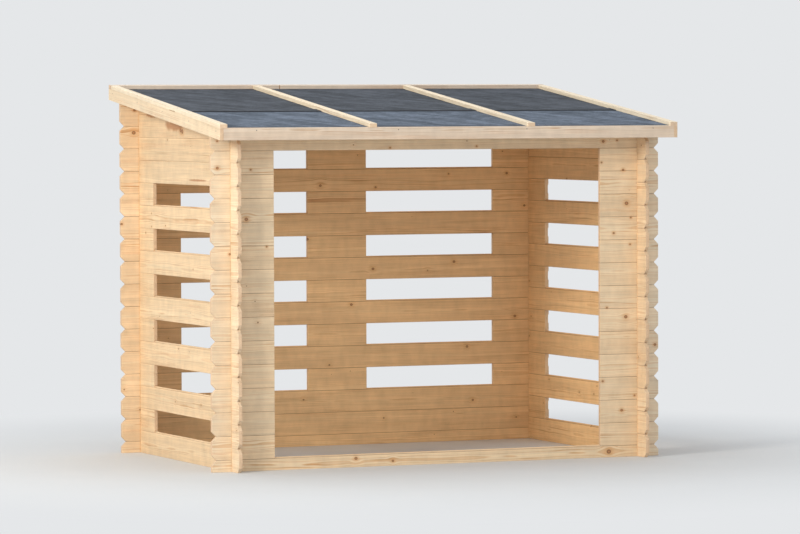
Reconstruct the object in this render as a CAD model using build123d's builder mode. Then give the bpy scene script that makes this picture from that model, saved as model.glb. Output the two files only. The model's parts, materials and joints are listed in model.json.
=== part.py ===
from build123d import *
import math
import os

os.makedirs("parts", exist_ok=True)

# Open-fronted log store built from interlocking wall logs, with a mono-pitch
# roof that falls towards the front. Millimetres, +Z up, front face towards -Y,
# width along X, origin at the middle of the footprint on the ground.

# Wall logs
log_height = 120.0
log_thick = 19.0
edge_vee = 2.0
tongue_high = 7.0
tongue_thick = 7.0
groove_deep = 8.0
groove_side_gap = 0.3
log_end_reach = 105.0
end_chamfer = 25.0
notch_side_gap = 0.3
notch_share = 0.25

# Walls, over their outer faces
store_width = 2300.0
store_depth = 1375.0
end_block_length = 235.0
middle_block_length = 345.0
middle_block_shift = -14.0
front_stub_courses = 13
slot_courses = 6
back_first_slot = 2

# Roof
roof_pitch = 7.0
front_overhang = 186.0
back_overhang = 108.0
side_overhang = 125.0
deck_thick = 16.0
felt_thick = 3.0
felt_lap_from_front = 650.0
felt_lap_width = 80.0
fascia_thick = 19.0
fascia_height = 61.0
barge_thick = 19.0
barge_height = 61.0
batten_width = 40.0
batten_height = 20.0
middle_batten_left = 830.0
middle_batten_right = 1712.0
wedge_tip = 12.0

# Derived places
half_width = store_width / 2
roof_length = front_overhang + store_depth + back_overhang
roof_width = store_width + 2 * side_overhang
front_edge = -roof_length / 2
back_edge = roof_length / 2
front_face = front_edge + front_overhang
back_face = front_face + store_depth
half_course = log_height / 2
notch_deep = notch_share * log_height
notch_wide = log_thick + 2 * notch_side_gap
groove_thick = tongue_thick + 2 * groove_side_gap
slope = math.tan(math.radians(roof_pitch))
lintel_base = half_course + front_stub_courses * log_height
lintel_top = lintel_base + log_height
long_x = store_width + 2 * log_end_reach
long_y = store_depth + 2 * log_end_reach
block_long = end_block_length + log_end_reach
first_notch = log_end_reach + log_thick / 2
roof_spare = log_height
left_log_x = -half_width + log_thick / 2
right_log_x = half_width - log_thick / 2
front_log_y = front_face + log_thick / 2
back_log_y = back_face - log_thick / 2


def underside(y):
    # Height of the roof boards' lower face above the ground at depth y.
    return lintel_top + (y - front_face) * slope


def make_log(length, notches, low_end=True, high_end=True, course=log_height, spare=0.0,
             tongue=True, groove=True, notch_top=True, notch_base=True, cut_base=True):
    # One wall log lying along X from zero: tongue on top, groove below, a
    # notch top and bottom at every crossing wall, free ends cut back at 45.
    # Spare is wood above the course, left for planing to the roof's fall.
    high = course + spare
    top = high + tongue_high if tongue else high
    with BuildPart() as log:
        with BuildSketch(Plane.YZ) as section:
            with Locations((0, high / 2)):
                Rectangle(log_thick, high)
            chamfer(section.vertices().group_by(Axis.Y)[-1], length=edge_vee)
            if tongue:
                with Locations((0, high)):
                    Rectangle(tongue_thick, 2 * tongue_high)
            if groove:
                with Locations((0, 0)):
                    Rectangle(groove_thick, 2 * groove_deep, mode=Mode.SUBTRACT)
        extrude(amount=length)
        with BuildSketch(Plane.XZ):
            with Locations((length / 2, top / 2)):
                Rectangle(length, top)
            for place in notches:
                if notch_top:
                    with Locations((place, course - notch_deep)):
                        Rectangle(notch_wide, 2 * top, align=(Align.CENTER, Align.MIN),
                                  mode=Mode.SUBTRACT)
                if notch_base:
                    with Locations((place, 0)):
                        Rectangle(notch_wide, 2 * notch_deep, mode=Mode.SUBTRACT)
            top_cut = end_chamfer + top - high
            if low_end:
                Polygon((0, top), (top_cut, top), (0, top - top_cut), align=None,
                        mode=Mode.SUBTRACT)
            if high_end:
                Polygon((length, top), (length - top_cut, top), (length, top - top_cut),
                        align=None, mode=Mode.SUBTRACT)
            if cut_base and low_end:
                Polygon((0, 0), (end_chamfer, 0), (0, end_chamfer), align=None,
                        mode=Mode.SUBTRACT)
            if cut_base and high_end:
                Polygon((length, 0), (length - end_chamfer, 0), (length, end_chamfer),
                        align=None, mode=Mode.SUBTRACT)
        extrude(amount=log_thick, both=True, mode=Mode.INTERSECT)
    return log.part


def along_x(x, y, z):
    # Seat for a log that runs across the store and starts at x.
    return Location((x, y, z))


def along_y(x, y, z):
    # Seat for a log that runs from front to back and starts at y.
    return Location((x, y, z), (0, 0, 90))


def roof_band(start, end, lift, thick, x_from, x_to):
    # Board parallel to the roof, cut plumb at both ends: start and end are
    # depths, lift is its lower face above the roof boards' lower face.
    low_start = underside(start) + lift
    low_end = underside(end) + lift
    with BuildSketch(Plane.YZ.offset(x_from)) as band:
        Polygon((start, low_start), (end, low_end), (end, low_end + thick),
                (start, low_start + thick), align=None)
    extrude(band.sketch, amount=x_to - x_from)


def sky():
    # Everything above the roof boards' lower face, used to trim the walls.
    reach = roof_length
    low_start = underside(-reach)
    low_end = underside(reach)
    with BuildSketch(Plane.YZ.offset(-roof_width)) as above:
        Polygon((-reach, low_start), (reach, low_end), (reach, low_end + 4 * log_height),
                (-reach, low_start + 4 * log_height), align=None)
    extrude(above.sketch, amount=2 * roof_width, mode=Mode.SUBTRACT)


cross_notches = (first_notch, long_x - first_notch)
side_notches = (first_notch, long_y - first_notch)
full_cross_log = make_log(long_x, cross_notches)
full_side_log = make_log(long_y, side_notches)
low_block = make_log(block_long, (first_notch,), high_end=False)
high_block = make_log(block_long, (block_long - first_notch,), low_end=False)
middle_block = make_log(middle_block_length, (), low_end=False, high_end=False)
cross_x = -long_x / 2
side_y = front_face - log_end_reach
right_block_x = half_width - end_block_length
rear_block_y = back_face - end_block_length

# Front wall: half-height sill log across the whole width
half_log = make_log(long_x, cross_notches, course=half_course, groove=False,
                    notch_base=False, cut_base=False)
with BuildPart() as front_sill:
    with Locations(along_x(cross_x, front_log_y, 0)):
        add(half_log)
front_sill.part.label = "front_sill"
export_step(front_sill.part, "parts/front_sill.step")


def stub_heights(first):
    # Every second course of the front wall beside the opening.
    return [half_course + i * log_height for i in range(first, front_stub_courses, 2)]


with BuildPart() as front_stubs_left_even:
    with Locations([along_x(cross_x, front_log_y, z) for z in stub_heights(0)]):
        add(low_block)
front_stubs_left_even.part.label = "front_stubs_left_even"
export_step(front_stubs_left_even.part, "parts/front_stubs_left_even.step")

with BuildPart() as front_stubs_left_odd:
    with Locations([along_x(cross_x, front_log_y, z) for z in stub_heights(1)]):
        add(low_block)
front_stubs_left_odd.part.label = "front_stubs_left_odd"
export_step(front_stubs_left_odd.part, "parts/front_stubs_left_odd.step")

with BuildPart() as front_stubs_right_even:
    with Locations([along_x(right_block_x, front_log_y, z) for z in stub_heights(0)]):
        add(high_block)
front_stubs_right_even.part.label = "front_stubs_right_even"
export_step(front_stubs_right_even.part, "parts/front_stubs_right_even.step")

with BuildPart() as front_stubs_right_odd:
    with Locations([along_x(right_block_x, front_log_y, z) for z in stub_heights(1)]):
        add(high_block)
front_stubs_right_odd.part.label = "front_stubs_right_odd"
export_step(front_stubs_right_odd.part, "parts/front_stubs_right_odd.step")

# Lintel log, its top planed to the fall of the roof
lintel_log = make_log(long_x, cross_notches, spare=roof_spare, tongue=False)
with BuildPart() as front_lintel:
    with Locations(along_x(cross_x, front_log_y, lintel_base)):
        add(lintel_log)
    sky()
front_lintel.part.label = "front_lintel"
export_step(front_lintel.part, "parts/front_lintel.step")

# Side walls: full logs with slot courses between them
slot_base = [(2 * i + 1) * log_height for i in range(slot_courses)]
full_base = [2 * i * log_height for i in range(1, slot_courses + 1)]
upper_base = (2 * slot_courses + 1) * log_height
gable_base = upper_base + log_height
wedge_base = gable_base + log_height
wedge_start = front_face + (wedge_base + wedge_tip - lintel_top) / slope
wedge_long = back_face + log_end_reach - wedge_start
base_side_log = make_log(long_y, side_notches, groove=False)
wedge_log = make_log(wedge_long, (wedge_long - first_notch,), low_end=False,
                     spare=roof_spare, tongue=False, notch_top=False)


def side_logs(x):
    # Ground log and every full log of one side wall.
    with Locations(along_y(x, side_y, 0)):
        add(base_side_log)
    with Locations([along_y(x, side_y, z) for z in full_base]):
        add(full_side_log)


with BuildPart() as left_wall_logs:
    side_logs(left_log_x)
left_wall_logs.part.label = "left_wall_logs"
export_step(left_wall_logs.part, "parts/left_wall_logs.step")

with BuildPart() as right_wall_logs:
    side_logs(right_log_x)
right_wall_logs.part.label = "right_wall_logs"
export_step(right_wall_logs.part, "parts/right_wall_logs.step")

with BuildPart() as left_wall_front_blocks:
    with Locations([along_y(left_log_x, side_y, z) for z in slot_base]):
        add(low_block)
left_wall_front_blocks.part.label = "left_wall_front_blocks"
export_step(left_wall_front_blocks.part, "parts/left_wall_front_blocks.step")

with BuildPart() as right_wall_front_blocks:
    with Locations([along_y(right_log_x, side_y, z) for z in slot_base]):
        add(low_block)
right_wall_front_blocks.part.label = "right_wall_front_blocks"
export_step(right_wall_front_blocks.part, "parts/right_wall_front_blocks.step")

with BuildPart() as left_wall_rear_blocks:
    with Locations([along_y(left_log_x, rear_block_y, z) for z in slot_base]):
        add(high_block)
left_wall_rear_blocks.part.label = "left_wall_rear_blocks"
export_step(left_wall_rear_blocks.part, "parts/left_wall_rear_blocks.step")

with BuildPart() as right_wall_rear_blocks:
    with Locations([along_y(right_log_x, rear_block_y, z) for z in slot_base]):
        add(high_block)
right_wall_rear_blocks.part.label = "right_wall_rear_blocks"
export_step(right_wall_rear_blocks.part, "parts/right_wall_rear_blocks.step")

with BuildPart() as left_wall_upper_log:
    with Locations(along_y(left_log_x, side_y, upper_base)):
        add(full_side_log)
left_wall_upper_log.part.label = "left_wall_upper_log"
export_step(left_wall_upper_log.part, "parts/left_wall_upper_log.step")

with BuildPart() as right_wall_upper_log:
    with Locations(along_y(right_log_x, side_y, upper_base)):
        add(full_side_log)
right_wall_upper_log.part.label = "right_wall_upper_log"
export_step(right_wall_upper_log.part, "parts/right_wall_upper_log.step")


def gable_log(x):
    # Log that runs out under the roof towards the front.
    with Locations(along_y(x, side_y, gable_base)):
        add(full_side_log)
    sky()


def gable_wedge(x):
    # Tapered log that closes the wall up to the roof at the back.
    with Locations(along_y(x, wedge_start, wedge_base)):
        add(wedge_log)
    sky()


with BuildPart() as left_wall_gable_log:
    gable_log(left_log_x)
left_wall_gable_log.part.label = "left_wall_gable_log"
export_step(left_wall_gable_log.part, "parts/left_wall_gable_log.step")

with BuildPart() as right_wall_gable_log:
    gable_log(right_log_x)
right_wall_gable_log.part.label = "right_wall_gable_log"
export_step(right_wall_gable_log.part, "parts/right_wall_gable_log.step")

with BuildPart() as left_wall_wedge:
    gable_wedge(left_log_x)
left_wall_wedge.part.label = "left_wall_wedge"
export_step(left_wall_wedge.part, "parts/left_wall_wedge.step")

with BuildPart() as right_wall_wedge:
    gable_wedge(right_log_x)
right_wall_wedge.part.label = "right_wall_wedge"
export_step(right_wall_wedge.part, "parts/right_wall_wedge.step")

# Back wall: half log, full logs, courses of three short blocks, and a top log
# planed to the fall of the roof
back_slot_base = [half_course + (back_first_slot + 2 * i) * log_height
                  for i in range(slot_courses)]
back_full_base = [z - log_height for z in back_slot_base]
back_full_base.append(back_slot_base[-1] + log_height)
back_top_base = back_slot_base[-1] + 2 * log_height
middle_x = middle_block_shift - middle_block_length / 2

with BuildPart() as back_sill:
    with Locations(along_x(cross_x, back_log_y, 0)):
        add(half_log)
back_sill.part.label = "back_sill"
export_step(back_sill.part, "parts/back_sill.step")

with BuildPart() as back_first_log:
    with Locations(along_x(cross_x, back_log_y, half_course)):
        add(full_cross_log)
back_first_log.part.label = "back_first_log"
export_step(back_first_log.part, "parts/back_first_log.step")

with BuildPart() as back_wall_logs:
    with Locations([along_x(cross_x, back_log_y, z) for z in back_full_base]):
        add(full_cross_log)
back_wall_logs.part.label = "back_wall_logs"
export_step(back_wall_logs.part, "parts/back_wall_logs.step")

with BuildPart() as back_left_blocks:
    with Locations([along_x(cross_x, back_log_y, z) for z in back_slot_base]):
        add(low_block)
back_left_blocks.part.label = "back_left_blocks"
export_step(back_left_blocks.part, "parts/back_left_blocks.step")

with BuildPart() as back_middle_blocks:
    with Locations([along_x(middle_x, back_log_y, z) for z in back_slot_base]):
        add(middle_block)
back_middle_blocks.part.label = "back_middle_blocks"
export_step(back_middle_blocks.part, "parts/back_middle_blocks.step")

with BuildPart() as back_right_blocks:
    with Locations([along_x(right_block_x, back_log_y, z) for z in back_slot_base]):
        add(high_block)
back_right_blocks.part.label = "back_right_blocks"
export_step(back_right_blocks.part, "parts/back_right_blocks.step")

back_top = make_log(long_x, cross_notches, spare=roof_spare, tongue=False)
with BuildPart() as back_top_log:
    with Locations(along_x(cross_x, back_log_y, back_top_base)):
        add(back_top)
    sky()
back_top_log.part.label = "back_top_log"
export_step(back_top_log.part, "parts/back_top_log.step")

# Roof boards and the trim around them
inner_half = roof_width / 2 - barge_thick
surface = deck_thick + felt_thick
deck_front = front_edge + fascia_thick
lap_start = front_edge + felt_lap_from_front
lap_end = lap_start + felt_lap_width

with BuildPart() as roof_deck:
    roof_band(deck_front, back_edge, 0, deck_thick, -inner_half, inner_half)
roof_deck.part.label = "roof_deck"
export_step(roof_deck.part, "parts/roof_deck.step")

with BuildPart() as roof_fascia:
    roof_band(front_edge, deck_front, surface - fascia_height, fascia_height,
              -inner_half, inner_half)
roof_fascia.part.label = "roof_fascia"
export_step(roof_fascia.part, "parts/roof_fascia.step")

with BuildPart() as left_barge_board:
    roof_band(front_edge, back_edge, surface - barge_height, barge_height,
              -roof_width / 2, -inner_half)
left_barge_board.part.label = "left_barge_board"
export_step(left_barge_board.part, "parts/left_barge_board.step")

with BuildPart() as right_barge_board:
    roof_band(front_edge, back_edge, surface - barge_height, barge_height,
              inner_half, roof_width / 2)
right_barge_board.part.label = "right_barge_board"
export_step(right_barge_board.part, "parts/right_barge_board.step")

# Felt in two strips, the upper one lapped over the lower
with BuildPart() as felt_lower:
    roof_band(deck_front, lap_end, deck_thick, felt_thick, -inner_half, inner_half)
felt_lower.part.label = "felt_lower"
export_step(felt_lower.part, "parts/felt_lower.step")

with BuildPart() as felt_upper:
    roof_band(lap_end, back_edge, deck_thick, felt_thick, -inner_half, inner_half)
    roof_band(lap_start, lap_end + felt_thick, surface, felt_thick, -inner_half, inner_half)
felt_upper.part.label = "felt_upper"
export_step(felt_upper.part, "parts/felt_upper.step")


def roof_batten(left):
    # Batten laid on the felt from front to back, left is its left edge,
    # relieved underneath where it crosses the felt lap.
    roof_band(front_edge, back_edge - batten_width, surface, batten_height,
              left, left + batten_width)
    low_start = underside(lap_start)
    low_end = underside(lap_end + felt_thick)
    with BuildSketch(Plane.YZ.offset(left)) as relief:
        Polygon((lap_start, low_start), (lap_end + felt_thick, low_end),
                (lap_end + felt_thick, low_end + surface + felt_thick),
                (lap_start, low_start + surface + felt_thick), align=None)
    extrude(relief.sketch, amount=batten_width, mode=Mode.SUBTRACT)


with BuildPart() as left_edge_batten:
    roof_batten(-roof_width / 2)
left_edge_batten.part.label = "left_edge_batten"
export_step(left_edge_batten.part, "parts/left_edge_batten.step")

with BuildPart() as right_edge_batten:
    roof_batten(roof_width / 2 - batten_width)
right_edge_batten.part.label = "right_edge_batten"
export_step(right_edge_batten.part, "parts/right_edge_batten.step")

with BuildPart() as middle_battens:
    roof_batten(middle_batten_left - roof_width / 2 - batten_width / 2)
    roof_batten(middle_batten_right - roof_width / 2 - batten_width / 2)
middle_battens.part.label = "middle_battens"
export_step(middle_battens.part, "parts/middle_battens.step")

with BuildPart() as back_batten:
    roof_band(back_edge - batten_width, back_edge, surface, batten_height,
              -roof_width / 2, roof_width / 2)
back_batten.part.label = "back_batten"
export_step(back_batten.part, "parts/back_batten.step")
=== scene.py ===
"""Looks of an open-fronted log store: spruce log boards, planed trim and a felted roof.

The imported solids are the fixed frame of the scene. Every solid gets the finish of
its own timber or felt, the roof boards and the nails are added, and the store
stands on a plain pale floor in soft light, seen from the front left.
"""

import json
import logging
import math
from dataclasses import dataclass, replace
from enum import Enum
from typing import Any, Mapping, Optional, Sequence, Union

import bpy
from mathutils import Matrix, Vector

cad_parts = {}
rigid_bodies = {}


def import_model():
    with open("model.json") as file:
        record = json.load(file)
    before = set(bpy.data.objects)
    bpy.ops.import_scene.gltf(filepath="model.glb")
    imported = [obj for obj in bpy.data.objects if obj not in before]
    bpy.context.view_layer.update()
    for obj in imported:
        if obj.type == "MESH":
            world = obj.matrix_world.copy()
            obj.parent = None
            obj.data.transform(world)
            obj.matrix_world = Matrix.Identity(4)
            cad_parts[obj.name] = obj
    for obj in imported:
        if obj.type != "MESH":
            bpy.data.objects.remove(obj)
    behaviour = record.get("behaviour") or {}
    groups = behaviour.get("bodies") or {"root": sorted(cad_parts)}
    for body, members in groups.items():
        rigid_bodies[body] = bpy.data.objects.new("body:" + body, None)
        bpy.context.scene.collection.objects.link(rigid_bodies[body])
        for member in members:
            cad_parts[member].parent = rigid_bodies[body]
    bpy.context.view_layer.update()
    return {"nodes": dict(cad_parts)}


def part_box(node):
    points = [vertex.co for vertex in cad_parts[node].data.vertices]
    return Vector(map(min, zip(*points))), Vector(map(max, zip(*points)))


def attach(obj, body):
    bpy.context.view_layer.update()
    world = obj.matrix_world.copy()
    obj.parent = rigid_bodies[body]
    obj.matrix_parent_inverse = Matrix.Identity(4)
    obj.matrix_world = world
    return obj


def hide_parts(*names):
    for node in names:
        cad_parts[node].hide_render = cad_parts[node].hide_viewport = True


LOG = logging.getLogger("log_store")

PHOTO_WIDTH = 800
ROOF_PITCH_DEG = 7.0
COURSE = 0.120
HALF_COURSE = COURSE / 2
TOP_LOG_FOOT = 29 * HALF_COURSE
TOP_LOG_HEIGHT = 0.30
# Corners nearer than this are one, faces that turn less are one face, and edges
# that turn more are rounded.
WELD_GAP = 0.00001
FLAT_DEG = 0.5
SHARP_DEG = 25.0

Triple = tuple[float, float, float]
Colour = tuple[float, float, float, float]


class Axis(Enum):
    """A direction of the store: sideways, front to back, or up."""

    SIDEWAYS = 0
    FRONT_TO_BACK = 1
    UP = 2


@dataclass(frozen=True)
class Tone:
    """A colour as it shows on a screen, in steps from 0 to 255."""

    red: float
    green: float
    blue: float

    def linear(self) -> Colour:
        """Return the colour as linear light, with full alpha."""
        parts = []
        for step in (self.red, self.green, self.blue):
            share = step / 255.0
            low = share / 12.92
            high = ((share + 0.055) / 1.055) ** 2.4
            parts.append(low if share <= 0.04045 else high)
        return (parts[0], parts[1], parts[2], 1.0)


Feed = Union[float, int, Sequence[float], Tone, "Signal"]


class Signal:
    """One output of a node, which takes part in Python arithmetic."""

    def __init__(self, graph: "NodeGraph", socket: bpy.types.NodeSocket) -> None:
        """Keep the graph and the socket that carries the value."""
        self.graph = graph
        self.socket = socket

    def of(self, name: str) -> "Signal":
        """Return another output of the same node."""
        return Signal(self.graph, find_socket(self.socket.node.outputs, name))

    def __add__(self, other: Feed) -> "Signal":
        """Add a value."""
        return self.graph.maths("ADD", self, other)

    def __radd__(self, other: Feed) -> "Signal":
        """Add to a value."""
        return self.graph.maths("ADD", other, self)

    def __sub__(self, other: Feed) -> "Signal":
        """Take a value away."""
        return self.graph.maths("SUBTRACT", self, other)

    def __rsub__(self, other: Feed) -> "Signal":
        """Take this away from a value."""
        return self.graph.maths("SUBTRACT", other, self)

    def __mul__(self, other: Feed) -> "Signal":
        """Multiply by a value."""
        return self.graph.maths("MULTIPLY", self, other)

    def __rmul__(self, other: Feed) -> "Signal":
        """Multiply a value by this."""
        return self.graph.maths("MULTIPLY", other, self)

    def __truediv__(self, other: Feed) -> "Signal":
        """Divide by a value."""
        return self.graph.maths("DIVIDE", self, other)

    def __rtruediv__(self, other: Feed) -> "Signal":
        """Divide a value by this."""
        return self.graph.maths("DIVIDE", other, self)

    def floor(self) -> "Signal":
        """Round down to a whole number."""
        return self.graph.maths("FLOOR", self)

    def fraction(self) -> "Signal":
        """Keep what is behind the decimal point."""
        return self.graph.maths("FRACT", self)

    def size(self) -> "Signal":
        """Drop the sign."""
        return self.graph.maths("ABSOLUTE", self)

    def root(self) -> "Signal":
        """Take the square root."""
        return self.graph.maths("SQRT", self)

    def larger(self, other: Feed) -> "Signal":
        """Take the larger of this and another value."""
        return self.graph.maths("MAXIMUM", self, other)

    def smaller(self, other: Feed) -> "Signal":
        """Take the smaller of this and another value."""
        return self.graph.maths("MINIMUM", self, other)

    def rise(self, start: Feed, end: Feed) -> "Signal":
        """Go smoothly from 0 to 1 between two values.

        Args:
            start: Value at which the result is still 0.
            end: Value at which the result has reached 1.

        Returns:
            The smooth step.
        """
        return self.graph.node(
            "ShaderNodeMapRange",
            {"interpolation_type": "SMOOTHSTEP", "clamp": True},
            {"Value": self, "From Min": start, "From Max": end},
        )

    def spread(self, low: float, high: float) -> "Signal":
        """Stretch a value between 0 and 1 to lie between two others."""
        return self * (high - low) + low

    def swing(self, half: float) -> "Signal":
        """Stretch a value between 0 and 1 to swing about 0 as far as half."""
        return self.spread(-half, half)


def find_socket(sockets: Any, name: str) -> bpy.types.NodeSocket:
    """Find a socket by its identifier, or else by its name.

    Args:
        sockets: The inputs or the outputs of a node.
        name: Identifier or name of the one wanted.

    Returns:
        The first socket in use that answers to the name.
    """
    for label in ("identifier", "name"):
        for socket in sockets:
            if socket.enabled and getattr(socket, label) == name:
                return socket
    raise KeyError(f"no socket {name} among {[s.identifier for s in sockets]}")


class NodeGraph:
    """A tree of nodes, each of which is added, set up and fed in one go."""

    def __init__(self, tree: bpy.types.NodeTree) -> None:
        """Take over a tree and empty it."""
        self.tree = tree
        self.tree.nodes.clear()

    def node(
        self,
        kind: str,
        settings: Optional[Mapping[str, Any]] = None,
        sockets: Optional[Mapping[str, Any]] = None,
    ) -> Signal:
        """Add a node, set it up and feed it.

        Args:
            kind: Type of the node.
            settings: Properties set before the sockets are fed.
            sockets: Values or signals for its inputs, or a list of signals for
                an input that joins them.

        Returns:
            The node's first output in use, or its first input if it has no output.
        """
        made = self.tree.nodes.new(kind)
        for key, value in (settings or {}).items():
            setattr(made, key, value)
        for key, value in (sockets or {}).items():
            socket = find_socket(made.inputs, key)
            for source in value if isinstance(value, list) else [value]:
                if isinstance(source, Signal):
                    self.tree.links.new(source.socket, socket)
                elif isinstance(source, Tone):
                    socket.default_value = source.linear()
                else:
                    socket.default_value = source
        outputs = [socket for socket in made.outputs if socket.enabled]
        return Signal(self, (outputs or made.inputs)[0])

    def maths(self, operation: str, first: Feed, *second: Feed) -> Signal:
        """Add a Math node on one or two values."""
        return self.node(
            "ShaderNodeMath",
            {"operation": operation},
            dict(zip(("Value", "Value_001"), (first, *second))),
        )

    def vector(self, x: Feed, y: Feed, z: Feed) -> Signal:
        """Join three values to a vector."""
        return self.node("ShaderNodeCombineXYZ", None, {"X": x, "Y": y, "Z": z})

    def split(self, vector: Signal) -> tuple[Signal, Signal, Signal]:
        """Part a vector into its three values."""
        parts = self.node("ShaderNodeSeparateXYZ", None, {"Vector": vector})
        return parts.of("X"), parts.of("Y"), parts.of("Z")

    def mixed(self, share: Signal, first: Signal, second: Signal) -> Signal:
        """Mix two shaders."""
        return self.node(
            "ShaderNodeMixShader",
            None,
            {"Fac": share, "Shader": first, "Shader_001": second},
        )

    def plainly_seen(self) -> Signal:
        """Return 1 for what the camera, a reflection or glass shows, else 0."""
        rays = self.node("ShaderNodeLightPath")
        direct = rays.of("Is Camera Ray").larger(rays.of("Is Glossy Ray"))
        return direct.larger(rays.of("Is Transmission Ray"))


class FinishGraph(NodeGraph):
    """The nodes of one finish."""

    def __init__(self, name: str) -> None:
        """Start an empty material.

        Args:
            name: Name of the material.
        """
        self.material = bpy.data.materials.new(name)
        self.material.use_nodes = True
        super().__init__(self.material.node_tree)

    def place(self) -> Signal:
        """Return the place on the piece, in metres."""
        return self.node("ShaderNodeTexCoord").of("Object")

    def blend(self, share: Feed, first: Feed, second: Feed) -> Signal:
        """Mix two colours."""
        return self.node(
            "ShaderNodeMix",
            {"data_type": "RGBA"},
            {"Factor_Float": share, "A_Color": first, "B_Color": second},
        )

    def shade(self, colour: Union[Tone, Signal], level: Signal) -> Signal:
        """Make a colour lighter or darker by a level, where 1 leaves it alone."""
        plain = colour.linear()[:3] if isinstance(colour, Tone) else colour
        return self.node(
            "ShaderNodeVectorMath",
            {"operation": "SCALE"},
            {"Vector": plain, "Scale": level},
        )

    def cloud(self, cells: Signal, detail: float = 2.0, rough: float = 0.55) -> Signal:
        """Return soft noise between 0 and 1 at a place given in noise cells."""
        return self.node(
            "ShaderNodeTexNoise",
            {"noise_dimensions": "3D"},
            {"Vector": cells, "Scale": 1.0, "Detail": detail, "Roughness": rough},
        )

    def chance(self, cell: Signal) -> tuple[Signal, Signal, Signal]:
        """Return three random values that hold over a whole cell."""
        noise = self.node(
            "ShaderNodeTexWhiteNoise", {"noise_dimensions": "3D"}, {"Vector": cell}
        )
        return self.split(noise.of("Color"))

    def relief(self, height: Signal) -> Signal:
        """Turn a height in metres into a surface direction."""
        return self.node(
            "ShaderNodeBump",
            None,
            {"Strength": 1.0, "Distance": 1.0, "Height": height},
        )

    def surface(self, sockets: Mapping[str, Feed]) -> Signal:
        """Add the shader of a solid surface."""
        return self.node("ShaderNodeBsdfPrincipled", None, sockets)

    def close(self, shader: Signal) -> bpy.types.Material:
        """Join the last shader to the output and return the material."""
        self.node("ShaderNodeOutputMaterial", None, {"Surface": shader})
        return self.material


@dataclass(frozen=True)
class Knot:
    """A knot that shows in a board.

    Attributes:
        along: Place along the grain, in metres.
        height: Place above the ground, in metres.
        radius: Half its width, in metres.
    """

    along: float
    height: float
    radius: float


@dataclass(frozen=True)
class Stain:
    """A brown patch that follows the grain beside a large knot.

    Attributes:
        along: Place of its middle along the grain, in metres.
        height: Place of its middle above the ground, in metres.
        half_length: Half its length along the grain, in metres.
        half_height: Half its height, in metres.
    """

    along: float
    height: float
    half_length: float
    half_height: float


@dataclass(frozen=True)
class BoardSpot:
    """Where a point lies in its board, as signals of a finish.

    Attributes:
        graph: The finish.
        along: Place along the grain.
        shifted: The same, shifted by chance from board to board.
        level: Place along the stack of boards.
        row: Number of the board in the stack.
        across: Place across the board, from its middle.
        through: Place through its thickness, from its middle.
        luck: Three random values of the board.
    """

    graph: FinishGraph
    along: Signal
    shifted: Signal
    level: Signal
    row: Signal
    across: Signal
    through: Signal
    luck: tuple[Signal, Signal, Signal]


@dataclass(frozen=True)
class Figure:
    """Soft noise drawn out along the grain.

    Attributes:
        along: Noise cells in a metre along the grain.
        across: Noise cells in a metre across the board and through it.
        step_across: Cells by which it shifts across from board to board.
        step_through: Cells by which it shifts through from board to board.
        detail: How many finer layers it has.
        rough: How strong the finer layers are.
        contrast: How far it lightens and darkens the wood.
        relief: Height of its relief, in metres.
    """

    along: float
    across: float
    step_across: float = 0.0
    step_through: float = 0.0
    detail: float = 3.0
    rough: float = 0.55
    contrast: float = 0.0
    relief: float = 0.0

    def draw(self, spot: BoardSpot) -> Signal:
        """Draw the noise.

        Args:
            spot: The point in its board.

        Returns:
            The noise, from 0 to 1.
        """
        side = spot.across * self.across
        if self.step_across:
            side = side + spot.row * self.step_across
        depth = spot.through * self.across
        if self.step_through:
            depth = depth + spot.row * self.step_through
        cells = spot.graph.vector(spot.shifted * self.along, side, depth)
        return spot.graph.cloud(cells, self.detail, self.rough)


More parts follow.
